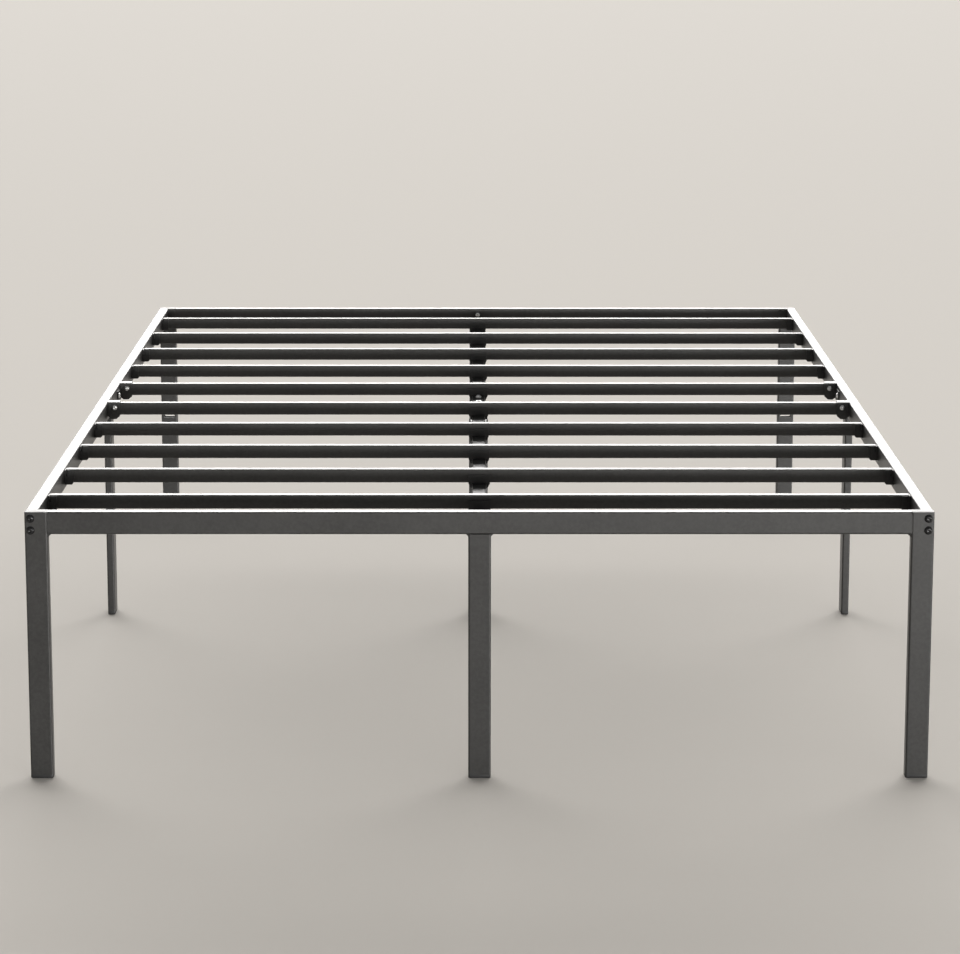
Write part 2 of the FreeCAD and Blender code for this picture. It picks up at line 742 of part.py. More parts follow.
def slat_pieces():
    pieces = {}
    for number, y in enumerate(slat_centres(), start=1):
        pieces["slat_%02d" % number] = slat(y)
    for side_name, side in SIDES.items():
        pieces["slat_holders_" + side_name] = [slat_holder(side, y) for y in holder_positions()]
    pieces["beam_saddles"] = [beam_saddle(y) for y in slat_centres()]
    return pieces


def beam_pieces():
    pieces = {
        "beam_channel": beam_channel(),
        "centre_leg": centre_leg(),
        "beam_bolts": beam_bolts(),
        "beam_nuts": beam_nuts(),
        "end_bracket_bolts": end_bracket_bolts(),
    }
    for station_name, station in STATIONS.items():
        pieces["centre_beam_" + station_name] = centre_beam(station)
    for end_name, end in ENDS.items():
        pieces["beam_bracket_" + end_name] = beam_end_bracket(end)
    return pieces


def main():
    os.makedirs("parts", exist_ok=True)
    pieces = {}
    for group in (end_frame_pieces, plug_and_cap_pieces, side_pieces, slat_pieces, beam_pieces):
        pieces.update(group())
    for name, shape in pieces.items():
        if isinstance(shape, list):
            shape = Part.makeCompound(shape)
        shape.exportStep("parts/" + name + ".step")
        bounds = shape.BoundBox
        print("%-26s %2d solid(s) %8.1f cm3  z %.1f to %.1f" % (
            name, len(shape.Solids), shape.Volume / 1000, bounds.ZMin, bounds.ZMax))
    print(len(pieces), "nodes")


main()
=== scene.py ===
# %% [markdown]
# # A metal bed frame, finished in Blender
# The bed's tubes, brackets and bolts were designed in CAD and arrive here as a fixed model: one
# mesh for each named part, in metres, each already in its place. Blender's work is the finish.
# The long tubes keep their CAD meshes and get a real powder coat. The small parts that catch
# the eye in a close view, such as the welds, the bolts and the mouldings, are made again with
# more shape than a plain solid has.
#
# Everything below is placed by asking the loaded model where its parts are. Nothing is fitted
# by eye, so a part that is made again always lands on the one that it stands for.

import json
import math

import bpy
import numpy as np
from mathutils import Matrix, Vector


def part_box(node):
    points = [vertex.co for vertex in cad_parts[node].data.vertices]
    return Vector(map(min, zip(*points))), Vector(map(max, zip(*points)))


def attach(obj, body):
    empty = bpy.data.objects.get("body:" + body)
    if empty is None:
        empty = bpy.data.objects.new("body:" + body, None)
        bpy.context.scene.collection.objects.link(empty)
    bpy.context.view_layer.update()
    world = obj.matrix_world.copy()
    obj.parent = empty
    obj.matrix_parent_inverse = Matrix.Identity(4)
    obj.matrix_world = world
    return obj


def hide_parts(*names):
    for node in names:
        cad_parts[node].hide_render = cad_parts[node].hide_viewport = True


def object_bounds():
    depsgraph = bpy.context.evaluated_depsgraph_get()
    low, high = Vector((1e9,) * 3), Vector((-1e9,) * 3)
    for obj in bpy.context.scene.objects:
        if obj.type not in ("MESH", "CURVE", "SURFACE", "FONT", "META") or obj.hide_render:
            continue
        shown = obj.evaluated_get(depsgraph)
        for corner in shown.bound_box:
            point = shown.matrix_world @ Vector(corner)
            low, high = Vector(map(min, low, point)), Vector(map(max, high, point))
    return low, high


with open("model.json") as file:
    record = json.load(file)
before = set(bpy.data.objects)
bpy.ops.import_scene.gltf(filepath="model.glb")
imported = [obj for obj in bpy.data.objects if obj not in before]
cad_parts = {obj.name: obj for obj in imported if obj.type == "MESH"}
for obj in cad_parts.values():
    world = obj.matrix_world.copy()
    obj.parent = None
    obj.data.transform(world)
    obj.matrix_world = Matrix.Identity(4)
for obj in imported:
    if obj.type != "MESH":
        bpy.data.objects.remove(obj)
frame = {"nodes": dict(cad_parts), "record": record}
nodes = frame["nodes"]
cad_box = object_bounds()
print("loaded", len(nodes), "parts; the box is", [round(v, 4) for corner in cad_box for v in corner])

# %% [markdown]
# ## Finding every solid in a part
# Eight corner bolts share one mesh, and so do the saddles, the caps and the welds. To make each
# of them again we need each one's own place. Blender can split a mesh by loose parts, but that
# would change the CAD model. Instead we read the triangles and group them ourselves: triangles
# that share an edge belong together. A number is given to every triangle, and each group
# settles on its lowest number by passing it across the shared edges again and again.

# %% The triangles of a part, and the corners of each solid in it
def joined_triangles(node):
    """A CAD part's points, with those closer than a micrometre made one, and its triangles."""
    mesh = nodes[node].data
    points = np.empty(len(mesh.vertices) * 3)
    mesh.vertices.foreach_get("co", points)
    corners = np.empty(len(mesh.loops), dtype=np.int64)
    mesh.loops.foreach_get("vertex_index", corners)
    points = points.reshape(-1, 3)
    _, first, same = np.unique(np.round(points * 1e6).astype(np.int64), axis=0,
                               return_index=True, return_inverse=True)
    triangles = same.reshape(-1)[corners].reshape(-1, 3)
    return points[first], triangles


def solid_boxes(node):
    """The lowest and highest corners of each solid in a CAD part, as an array of (solid, 2, 3).

    Two triangles are joined if they have an edge in common, so solids that meet only at a
    point stay apart."""
    points, triangles = joined_triangles(node)
    edges = np.sort(triangles[:, [0, 1, 1, 2, 2, 0]].reshape(-1, 2), axis=1)
    _, edge_of = np.unique(edges, axis=0, return_inverse=True)
    edge_of = edge_of.reshape(-1, 3)
    group = np.arange(len(triangles))
    settled = False
    while not settled:
        lowest = np.full(edge_of.max() + 1, len(group))
        np.minimum.at(lowest, edge_of.ravel(), np.repeat(group, 3))
        passed_on = np.minimum(group, lowest[edge_of].min(axis=1))
        settled = bool((passed_on == group).all())
        group = passed_on
    corners = points[triangles]
    boxes = [(corners[group == g].min(axis=(0, 1)), corners[group == g].max(axis=(0, 1)))
             for g in np.unique(group)]
    return np.array(boxes)


for name in ("corner_bolts", "foot_frame_welds", "beam_saddles", "slat_holders_left"):
    print(name, "holds", len(solid_boxes(name)), "solids")

# %% [markdown]
# ## Surfaces from arrays
# Every new piece is a *loft*: a stack of closed loops of points, with a band of quads between
# one loop and the next. A bolt, a foot cap and a weld bead differ only in how their loops are
# worked out, so the loops come from formulas on whole numpy arrays and one helper turns any
# stack of loops into faces. The first and last loops are closed by flat caps, or joined to each
# other where the shape is a ring, as a nut is.
#
# A loft can come out inside out, depending on which way its loops turn. Its signed volume tells:
# if the sum over all faces is negative, the faces are turned round.

# %% Lofts
MILLIMETRE = 0.001


def loft(loops, ring=False):
    """Points and faces of a closed shell through a stack of loops, an array of (loop, place, 3).

    Face (i, j) joins places j and j + 1 of loops i and i + 1. In a ring the last loop joins the
    first; otherwise both are capped. The volume of the shell is the sum of a . (b x c) / 6 over
    its triangles, and it is made positive."""
    rows, columns, _ = loops.shape
    points = loops.reshape(-1, 3)
    i, j = np.meshgrid(np.arange(rows if ring else rows - 1), np.arange(columns), indexing="ij")
    along = (i + 1) % rows * columns
    round_it = (j + 1) % columns
    bands = np.stack([i * columns + j, i * columns + round_it,
                      along + round_it, along + j], axis=-1).reshape(-1, 4)
    caps = [np.arange(columns)[::-1], (rows - 1) * columns + np.arange(columns)]
    if ring:
        caps = []
    fans = [np.stack([np.full(columns - 2, cap[0]), cap[1:-1], cap[2:]], axis=-1) for cap in caps]
    triangles = np.concatenate([bands[:, :3], bands[:, [0, 2, 3]]] + fans)
    a, b, c = (points[triangles[:, k]] - points.mean(axis=0) for k in range(3))
    volume = np.einsum("ij,ij->i", a, np.cross(b, c)).sum() / 6
    faces = bands.tolist() + [cap.tolist() for cap in caps]
    if volume < 0:
        faces = [face[::-1] for face in faces]
    return points, faces


# %% [markdown]
# ## Writing shader maths as Python
# A node tree for a coat of paint is mostly arithmetic, and arithmetic is hard to read as a list
# of links. A small class wraps an output socket, so that `grain * 0.3 + 0.5` adds the Math nodes
# by itself. Numbers that never meet a socket stay in Python. Everything that isn't arithmetic
# comes from one method that takes a node's type, its settings and its inputs.

# %% A socket that can be added and multiplied
class Value:
    """One output socket of a node tree. Operators on it add Math nodes."""

    def __init__(self, finish, socket):
        self.finish = finish
        self.socket = socket

    def math(self, operation, *inputs):
        """A Math node on values or plain numbers."""
        values = {place: value for place, value in enumerate(inputs)}
        return self.finish.node("ShaderNodeMath", {"operation": operation}, values)

    def __add__(self, other):
        return self.math("ADD", self, other)

    def __radd__(self, other):
        return self.math("ADD", other, self)

    def __sub__(self, other):
        return self.math("SUBTRACT", self, other)

    def __rsub__(self, other):
        return self.math("SUBTRACT", other, self)

    def __mul__(self, other):
        return self.math("MULTIPLY", self, other)

    def __rmul__(self, other):
        return self.math("MULTIPLY", other, self)

    def clamped(self):
        """The value, but no lower than 0 and no higher than 1."""
        return self.math("MINIMUM", self.math("MAXIMUM", self, 0.0), 1.0)

    def between(self, low, high):
        """0 at low, 1 at high, straight in between, held at the ends."""
        return ((self - low) * (1 / (high - low))).clamped()


class Finish:
    """A material that starts as one Principled BSDF, and the nodes that vary it."""

    def __init__(self, name, **constants):
        self.material = bpy.data.materials.new(name)
        self.material.use_nodes = True
        self.tree = self.material.node_tree
        self.shader = self.tree.nodes["Principled BSDF"]
        for socket, value in constants.items():
            self.shader.inputs[socket.replace("_", " ")].default_value = value
        self.place = self.node("ShaderNodeTexCoord", output="Object")

    def node(self, kind, settings=None, inputs=None, output=0):
        """Adds a node: its settings first, then a value or a link for each of its inputs. Returns
        one output, by name or number."""
        made = self.tree.nodes.new(kind)
        for setting, value in (settings or {}).items():
            setattr(made, setting, value)
        for socket, value in (inputs or {}).items():
            if isinstance(value, Value):
                self.tree.links.new(value.socket, made.inputs[socket])
            else:
                made.inputs[socket].default_value = value
        return Value(self, made.outputs[output])

    def noise(self, scale, detail=2.0, roughness=0.5):
        """Cloudy noise from 0 to 1 in the object's own space; scale is in features per metre."""
        return self.node("ShaderNodeTexNoise", {}, {
            "Vector": self.place, "Scale": scale, "Detail": detail, "Roughness": roughness})

    def axis(self, vector, letter):
        """One part of a vector: X, Y or Z."""
        return self.node("ShaderNodeSeparateXYZ", {}, {"Vector": vector}, output="XYZ".index(letter))

    def facing_up(self):
        """1 on level tops, 0 on walls and undersides."""
        return self.axis(self.node("ShaderNodeNewGeometry", output="Normal"), "Z").clamped()

    def mixed(self, factor, first, second):
        """One colour blended into another: the first where the factor is 0, the second at 1.

        A Mix node has sockets for every kind of data. Inputs 6 and 7 and output 2 are colours."""
        return self.node("ShaderNodeMix", {"data_type": "RGBA"},
                         {0: factor, 6: first, 7: second}, output=2)

    def feed(self, socket, value):
        """Links a value to one of the shader's inputs."""
        self.tree.links.new(value.socket, self.shader.inputs[socket])

    def relief(self, height, depth):
        """Small bumps: height from 0 to 1 stands for that depth in metres."""
        self.feed("Normal", self.node("ShaderNodeBump", {}, {
            "Height": height, "Distance": depth, "Strength": 1.0}))


# %% [markdown]
# ## Powder coat
# The tubes are sprayed with a black powder that melts into a satin skin. Seen close, the skin
# isn't flat: it has a slow orange peel a few millimetres across, and a fine grain on top of it.
# Both go into one height that feeds a Bump node. The tone and the gloss wander a little, in
# clouds a hand wide and in mottles the size of a pea, because no coat is equally thick
# everywhere, and a trace of dust dulls the level tops.
#
# The peel must not follow the object's shape, so it is noise in Object coordinates. All parts
# share one origin, so the pattern runs on from one tube to the next and never repeats.

# %% The powder coat
COAT_BLACK = (0.0060, 0.0058, 0.0057, 1.0)
COAT_WORN = (0.0240, 0.0234, 0.0226, 1.0)
DUST = (0.16, 0.15, 0.14, 1.0)
DUST_COVER = 0.12
CLOUDS_PER_METRE = 7.0
MOTTLES_PER_METRE = 170.0
PEEL_PER_METRE = 330.0
GRAIN_PER_METRE = 1400.0
DUST_PER_METRE = 40.0
PEEL_DEPTH = 0.10 * MILLIMETRE


def powder_coat():
    coat = Finish("satin black powder coat", Specular_IOR_Level=0.5, IOR=1.5)
    cloud = coat.noise(CLOUDS_PER_METRE, detail=3.0)
    mottle = coat.noise(MOTTLES_PER_METRE, roughness=0.6)
    peel = coat.noise(PEEL_PER_METRE)
    grain = coat.noise(GRAIN_PER_METRE, detail=3.0, roughness=0.6)
    specks = coat.noise(DUST_PER_METRE, detail=5.0, roughness=0.65).between(0.45, 0.75)
    dust = coat.facing_up() * specks
    tone = (cloud.between(0.3, 0.7) * 0.3
            + mottle.between(0.35, 0.65) * 0.4
            + grain.between(0.35, 0.65) * 0.3)
    colour = coat.mixed(tone, COAT_BLACK, COAT_WORN)
    coat.feed("Base Color", coat.mixed(dust * DUST_COVER, colour, DUST))
    coat.feed("Roughness", 0.30 + cloud * 0.06 + mottle * 0.08 + grain * 0.06 + dust * 0.06)
    coat.relief(peel * 0.65 + grain * 0.35, PEEL_DEPTH)
    return coat.material


# %% [markdown]
# ## Bolts, zinc and mouldings
# Three more finishes are needed. The corner bolts are steel with a thin black oxide, which is
# rubbed through in specks where the metal shows. The bolts inside the frame are plated with
# zinc, a pale metal whose spangle changes the gloss from patch to patch. The slat holders, the
# saddles and the feet are moulded plastic with a dull shine, and with the fine leathery grain
# that a mould is etched with.

# %% Black oxide
OXIDE_BLACK = (0.006, 0.006, 0.0065, 1.0)
OXIDE_RUBBED = (0.06, 0.059, 0.058, 1.0)
RUB_PER_METRE = 900.0
STEEL_GRAIN_PER_METRE = 2200.0
STEEL_GRAIN_DEPTH = 0.01 * MILLIMETRE


def black_oxide():
    oxide = Finish("black oxide steel", Specular_IOR_Level=0.3)
    rub = oxide.noise(RUB_PER_METRE, detail=4.0, roughness=0.7).between(0.56, 0.72)
    oxide.feed("Base Color", oxide.mixed(rub, OXIDE_BLACK, OXIDE_RUBBED))
    oxide.feed("Roughness", 0.26 - rub * 0.06)
    oxide.feed("Metallic", rub * 0.6)
    oxide.relief(oxide.noise(STEEL_GRAIN_PER_METRE), STEEL_GRAIN_DEPTH)
    return oxide.material


# %% Bright zinc
ZINC_DARK = (0.58, 0.59, 0.60, 1.0)
ZINC_LIGHT = (0.78, 0.78, 0.77, 1.0)
SPANGLES_PER_METRE = 420.0
STREAKS_PER_METRE = 160.0


def bright_zinc():
    zinc = Finish("bright zinc plate", Metallic=1.0)
    spangle = zinc.node("ShaderNodeTexVoronoi", {"feature": "F1"},
                        {"Vector": zinc.place, "Scale": SPANGLES_PER_METRE}, output="Color")
    tone = zinc.axis(spangle, "X")
    streak = zinc.noise(STREAKS_PER_METRE, detail=4.0, roughness=0.6)
    zinc.feed("Base Color", zinc.mixed(tone, ZINC_DARK, ZINC_LIGHT))
    zinc.feed("Roughness", 0.20 + tone * 0.10 + streak * 0.12)
    zinc.relief(streak, STEEL_GRAIN_DEPTH)
    return zinc.material


# %% Moulded plastic, and the four finishes by slot
PLASTIC_BLACK = (0.010, 0.010, 0.0105, 1.0)
PLASTIC_HAZE = (0.020, 0.020, 0.020, 1.0)
HAZE_PER_METRE = 60.0
LEATHER_PER_METRE = 1300.0
LEATHER_DEPTH = 0.02 * MILLIMETRE


def moulded_plastic():
    plastic = Finish("matte black moulding", Specular_IOR_Level=0.4)
    leather = plastic.node("ShaderNodeTexVoronoi", {"feature": "SMOOTH_F1"}, {
        "Vector": plastic.place, "Scale": LEATHER_PER_METRE, "Smoothness": 0.4})
    haze = plastic.noise(HAZE_PER_METRE, detail=3.0)
    plastic.feed("Base Color", plastic.mixed(haze, PLASTIC_BLACK, PLASTIC_HAZE))
    plastic.feed("Roughness", 0.42 + haze * 0.10)
    plastic.relief(leather, LEATHER_DEPTH)
    return plastic.material


finishes = {
    "powder_coat": powder_coat(),
    "black_bolts": black_oxide(),
    "zinc_hardware": bright_zinc(),
    "black_plastic": moulded_plastic(),
}
print("finishes:", ", ".join(material.name for material in finishes.values()))

# %% [markdown]
# ## Dressing the CAD parts
# Each CAD part carries the name of its material slot from the record. Putting our finish into
# the slot of its object changes what it looks like and leaves its mesh alone.

# %% A finish for every CAD part
slot_of = {part["node"]: part["material_slot"] for part in frame["record"]["subparts"]}
for name, obj in nodes.items():
    obj.material_slots[0].material = finishes[slot_of[name]]
print("dressed", len(nodes), "CAD parts")

# %% [markdown]
# ## Pieces that stand for CAD parts
# A part that is made again is an ordinary mesh object. It rides on the frame's one body, and it
# takes its material slot from the part that it stands for, which is then hidden. Its bands are
# shaded smooth, so a bolt's dome looks round, and an edge sharper than 35 degrees stays crisp, so
# the hexagon in it keeps its corners.

# %% A piece made of shells
SHARP_ANGLE = math.radians(35)
SMOOTH_CORNERS = 4
ROUNDING_STEPS = 2


def piece(name, node, shells, rounding=0.0):
    """An object made of closed shells, which stands for a CAD part and wears its finish.

    Faces of three or four corners are shaded smooth, and larger ones are flat plates. rounding
    softens every edge sharper than 35 degrees, by that radius in metres."""
    points = []
    faces = []
    start = 0
    for shell_points, shell_faces in shells:
        points.append(shell_points)
        faces += [[start + corner for corner in face] for face in shell_faces]
        start += len(shell_points)
    mesh = bpy.data.meshes.new(name)
    mesh.from_pydata(np.concatenate(points).tolist(), [], faces)
    mesh.materials.append(finishes[slot_of[node]])
    mesh.polygons.foreach_set("use_smooth", [len(face) <= SMOOTH_CORNERS for face in faces])
    mesh.set_sharp_from_angle(angle=SHARP_ANGLE)
    obj = bpy.data.objects.new(name, mesh)
    bpy.context.scene.collection.objects.link(obj)
    if rounding:
        bevel = obj.modifiers.new("soft edges", "BEVEL")
        bevel.width = rounding
        bevel.segments = ROUNDING_STEPS
        bevel.limit_method = "ANGLE"
        bevel.angle_limit = SHARP_ANGLE
        bevel.harden_normals = True
    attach(obj, "root")
    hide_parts(node)
    print(name, "is", len(shells), "shell(s),", len(mesh.polygons), "faces, for", node)
    return obj


# %% [markdown]
# ## Weld beads
# The end rails are welded to the legs, and the weld is a row of overlapping puddles, like a
# stack of coins pushed over. A fillet weld sits in the corner under the rail; its face is
# slightly hollow. We carry that face along the seam and let its height rise and fall once for
# each puddle. The crest of each puddle lags behind at its middle, which gives the curved
# ripples that a welder leaves. At both ends the bead tapers to a rounded stop.

# %% Fillet welds, in the corners under the rails
PUDDLE_PITCH = 1.7 * MILLIMETRE
PUDDLE_HEIGHT = 0.3 * MILLIMETRE
HOLLOW_SHARE = 1 / 6
STOP_SHARE = 0.35
STOP_POWER = 10
FACE_STEPS = 14
RUN_STEPS_PER_PUDDLE = 8


def puddles(along, across):
    """Height of the ripples from 0 to 1: a cosine along the bead, whose phase lags by half a
    puddle at the middle of the face. across runs from 0 to 1 over the face."""
    lag = 2.0 * across * (1 - across)
    return 0.5 + 0.5 * np.cos(2 * np.pi * (along / PUDDLE_PITCH + lag))


def taper(share):
    """1 along a bead, falling in a rounded way to STOP_SHARE at its ends: the fall is the root
    of 1 less a high power of the way from the middle. share runs from 0 to 1."""
    rounded = np.sqrt(np.clip(1 - np.abs(2 * share - 1) ** STOP_POWER, 0, 1))
    return STOP_SHARE + (1 - STOP_SHARE) * rounded


def fillet_weld(corner, run, leg_a, leg_b, size):
    """A bead in the corner between two plates. Its face goes from corner + size leg_a to
    corner + size leg_b, bent inwards by a sixth of its size, with puddles standing on it."""
    length = np.linalg.norm(run)
    steps = int(length / PUDDLE_PITCH * RUN_STEPS_PER_PUDDLE)
    share, across = np.meshgrid(np.linspace(0, 1, steps), np.linspace(0, 1, FACE_STEPS),
                                indexing="ij")
    outwards = (leg_a + leg_b) / math.sqrt(2)
    height = PUDDLE_HEIGHT * puddles(share * length, across) - HOLLOW_SHARE * size
    bow = height * np.sin(np.pi * across)
    scale = taper(share)[..., None]
    face = scale * size * ((1 - across)[..., None] * leg_a + across[..., None] * leg_b)
    face = corner + share[..., None] * run + face + scale * bow[..., None] * outwards
    root = corner + share[:, :1, None] * run
    return loft(np.concatenate([face, root], axis=1))


X, Y, Z = np.eye(3)
TALLEST_FILLET = 10 * MILLIMETRE


def end_fillets(node):
    """The fillets under an end rail: a leg stands on the outer side of those near the bed's
    corners, and on the inner side of those beside the centre leg."""
    shells = []
    quarter_width = (cad_box[1][0] - cad_box[0][0]) / 4
    for low, high in solid_boxes(node):
        if high[2] - low[2] < TALLEST_FILLET:
            middle = (low[0] + high[0]) / 2
            near_corner = abs(middle) > quarter_width
            leg_side = np.sign(middle) * (1 if near_corner else -1)
            corner = np.array([high[0] if leg_side > 0 else low[0], low[1], high[2]])
            shells.append(fillet_weld(corner, Y * (high[1] - low[1]), -Z, -leg_side * X,
                                      high[0] - low[0]))
    return shells


# %% [markdown]
# The seam between rail and leg is welded too, on the front and the back. There the weld lies
# in the groove between the rail's cut end and the leg's round corner, a little below the face.

# %% Groove welds, up the seams
GROOVE_HALF_WIDTH = 1.9 * MILLIMETRE
GROOVE_HALF_DEPTH = 1.3 * MILLIMETRE
PUDDLE_SHARE = 0.22
SECTION_STEPS = 20


def groove_weld(low, high, outwards):
    """A bead of oval section that runs up the middle of a groove's box and just reaches its
    outer face. The oval's outer half grows with the puddles; outwards is 1 or -1 along Y."""
    length = high[2] - low[2]
    steps = int(length / PUDDLE_PITCH * RUN_STEPS_PER_PUDDLE)
    share, turn = np.meshgrid(np.linspace(0, 1, steps),
                              np.linspace(0, 2 * np.pi, SECTION_STEPS, endpoint=False),
                              indexing="ij")
    across = (np.cos(turn) + 1) / 2
    grow = taper(share) * (1 + PUDDLE_SHARE * puddles(share * length, across) * (np.sin(turn) > 0))
    face = high[1] if outwards > 0 else low[1]
    return loft(np.stack([
        (low[0] + high[0]) / 2 + GROOVE_HALF_WIDTH * grow * np.cos(turn),
        face + outwards * GROOVE_HALF_DEPTH * (grow * np.sin(turn) - 1),
        low[2] + share * length], axis=-1))


for end in ("foot", "head"):
    node = end + "_frame_welds"
    rail_low, rail_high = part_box(end + "_rail")
    frame_middle = (rail_low[1] + rail_high[1]) / 2
    seams = [groove_weld(low, high, 1 if low[1] > frame_middle else -1)
             for low, high in solid_boxes(node) if high[2] - low[2] > TALLEST_FILLET]
    piece(end + "_weld_beads", node, end_fillets(node) + seams)

# %% Fillet welds between the side legs and their rails
beads = []
for low, high in solid_boxes("middle_leg_welds"):
    leg_side = -np.sign(low[1] + high[1])
    corner = np.array([low[0], high[1] if leg_side > 0 else low[1], high[2]])
    beads.append(fillet_weld(corner, X * (high[0] - low[0]), -Z, -leg_side * Y, high[1] - low[1]))
piece("side_leg_weld_beads", "middle_leg_welds", beads)

# %% [markdown]
# ## Button-head bolts
# A bolt is a shape that turns round an axis, apart from its socket, which is a hexagon. Both
# fit one formula if the radius may change with the angle: a hexagon's edge lies at
# flat / cos(angle from the middle of the nearest flat). So each loop of the loft says how far
# along the axis it lies, how wide it is, and how much of a hexagon it is. The thread is the
# same trick: the radius dips once for each turn of a helix.

# %% Shapes turned round an axis
TURN_STEPS = 48


def hexagon(angle):
    """Distance to a hexagon's edge at an angle, for a hexagon 1 from its centre to its flats."""
    nearest_flat = np.pi / 3 * np.round(angle / (np.pi / 3))
    return 1 / np.cos(angle - nearest_flat)


def turned(start, axis, stations):
    """A loft round an axis. stations has a row (distance along, radius, share of a hexagon) for
    each loop; the radius at an angle is radius (1 + share (hexagon(angle) - 1))."""
    along, radius, share = np.array(stations).T[:, :, None]
    angle = np.linspace(0, 2 * np.pi, TURN_STEPS, endpoint=False)[None, :]
    reach = radius * (1 + share * (hexagon(angle) - 1))
    side = np.roll(axis, 1)
    up = np.cross(axis, side)
    return (start + along[..., None] * axis
            + (reach * np.cos(angle))[..., None] * side + (reach * np.sin(angle))[..., None] * up)


def threaded(loops, start, axis, radius, pitch, depth):
    """Cuts a helical thread: each point moves towards the axis by depth times a rounded wave of
    its place along the axis less its share of a turn."""
    from_start = loops - start
    along = from_start @ axis
    spokes = from_start - along[..., None] * axis
    turn = np.arange(loops.shape[1])[None, :] / loops.shape[1]
    wave = 0.5 - 0.5 * np.cos(2 * np.pi * (along / pitch - turn))
    return start + along[..., None] * axis + spokes * (1 - depth / radius * wave)[..., None]


# %% [markdown]
# The head's proportions are shares of its own height and width, so one description serves both
# sizes of bolt. A small edge is taken off the seat, a short rim goes straight up, and the dome
# closes in on the socket's mouth. The hexagon is pressed into a drilled hole, so the socket's
# floor is narrower and rounder than its walls.

# %% Bolts
THREAD_STEPS_PER_TURN = 8
DOME_STEPS = 9
SEAT_WIDTH_SHARE = 0.97
SEAT_EDGE_SHARE = 0.12
RIM_SHARE = 0.22
MOUTH_SHARE = 1.12
THREAD_DEPTH_SHARE = 0.12
TIP_LENGTH_SHARE = 0.02
TIP_WIDTH_SHARE = 0.78
# Rows of (depth as a share of the head's height, half width as a share of the socket's, share
# of a hexagon), from the socket's mouth to its floor
SOCKET_PROFILE = ((0.02, 1.04, 0.9), (0.10, 1.0, 1.0), (0.55, 1.0, 1.0), (0.594, 0.80, 0.6))


def button_bolt(seat, axis, radius, length, head_radius, head_height, socket_width, pitch):
    """A button-head bolt. Its shank runs from the seat along the axis, and its head is behind
    the seat: a rim, then a dome whose height falls with the square of the radius."""
    socket_flat = socket_width / 2
    rim = RIM_SHARE * head_height
    mouth = MOUTH_SHARE * socket_flat
    collar = [(0, radius, 0), (0, SEAT_WIDTH_SHARE * head_radius, 0),
              (-SEAT_EDGE_SHARE * head_height, head_radius, 0)]
    dome = [(-rim - (head_height - rim) * (1 - s * s), mouth + (head_radius - mouth) * s, 0)
            for s in np.linspace(1, 0, DOME_STEPS)]
    socket = [(head_height * (depth - 1), width * socket_flat, share)
              for depth, width, share in SOCKET_PROFILE]
    head = turned(seat, axis, collar + dome + socket)
    places = np.linspace(length, pitch / 2, int(length / pitch * THREAD_STEPS_PER_TURN))
    shank = turned(seat, axis, [(place, radius, 0) for place in places])
    shank = threaded(shank, seat, axis, radius, pitch, THREAD_DEPTH_SHARE * radius)
    tip = turned(seat, axis, [(length + TIP_LENGTH_SHARE * radius, TIP_WIDTH_SHARE * radius, 0)])
    return loft(np.concatenate([tip, shank, head]))


def bolt_set(name, node, axis_of, radius, head_radius, head_height, socket_width, pitch):
    """A bolt in the place of each solid of a CAD part. axis_of tells which way a bolt points
    from the middle of its box."""
    shells = []
    for low, high in solid_boxes(node):
        middle = (low + high) / 2
        axis = axis_of(middle)
        span = abs((high - low) @ axis)
        seat = middle - axis * (span / 2 - head_height)
        shells.append(button_bolt(seat, axis, radius, span - head_height, head_radius,
                                  head_height, socket_width, pitch))
    piece(name, node, shells)


M8 = {"radius": 4 * MILLIMETRE, "head_radius": 7 * MILLIMETRE, "head_height": 4.4 * MILLIMETRE,
      "socket_width": 5 * MILLIMETRE, "pitch": 1.25 * MILLIMETRE}
M6 = {"radius": 3 * MILLIMETRE, "head_radius": 5.25 * MILLIMETRE, "head_height": 3.3 * MILLIMETRE,
      "socket_width": 4 * MILLIMETRE, "pitch": 1.0 * MILLIMETRE}

bolt_set("corner_bolt_set", "corner_bolts", lambda middle: -np.sign(middle[1]) * Y, **M8)
bolt_set("beam_bolt_set", "beam_bolts", lambda middle: -Z, **M8)
bolt_set("joint_bolt_set", "joint_bolts", lambda middle: Y, **M6)
bolt_set("tail_screw_set", "tail_screws", lambda middle: np.sign(middle[0]) * X, **M6)
bolt_set("tab_bolt_set", "end_bracket_bolts", lambda middle: np.sign(middle[1]) * Y, **M6)

# %% [markdown]
# ## Nuts
# A nut is a hexagon whose corners are turned off by a cone at each end. The radius at each
# angle is the smaller of the hexagon's and the cone's, and taking the smaller of two arrays
# draws the curved edge that every real nut has.

# %% Nuts
CHAMFER_STEPS = 5
CHAMFER_SLOPE = math.tan(math.radians(30))
CHAMFER_FACE_SHARE = 0.96
BORE_CHAMFER_SHARE = 0.12


def nut(seat, axis, height, width, bore):
    """A hexagon nut from its seat along the axis. Its loops go up the outside and down the
    bore, whose two mouths are chamfered, and close into a ring."""
    flat = width / 2
    crest = flat * 2 / math.sqrt(3)
    face = CHAMFER_FACE_SHARE * flat
    rise = np.linspace(0, (crest - face) * CHAMFER_SLOPE, CHAMFER_STEPS)
    along = np.concatenate([rise, (height - rise)[::-1]])
    cone = face + np.minimum(along, height - along) / CHAMFER_SLOPE
    outside = turned(seat, axis, [(place, flat, 1) for place in along])
    spokes = outside - seat - (outside - seat) @ axis[:, None] * axis
    reach = np.linalg.norm(spokes, axis=-1)
    outside += spokes * (np.minimum(1, cone[:, None] / reach) - 1)[..., None]
    widening = BORE_CHAMFER_SHARE * bore
    inside = [(height, bore + widening, 0), (height - widening, bore, 0),
              (widening, bore, 0), (0, bore + widening, 0)]
    return loft(np.concatenate([outside, turned(seat, axis, inside)]), ring=True)


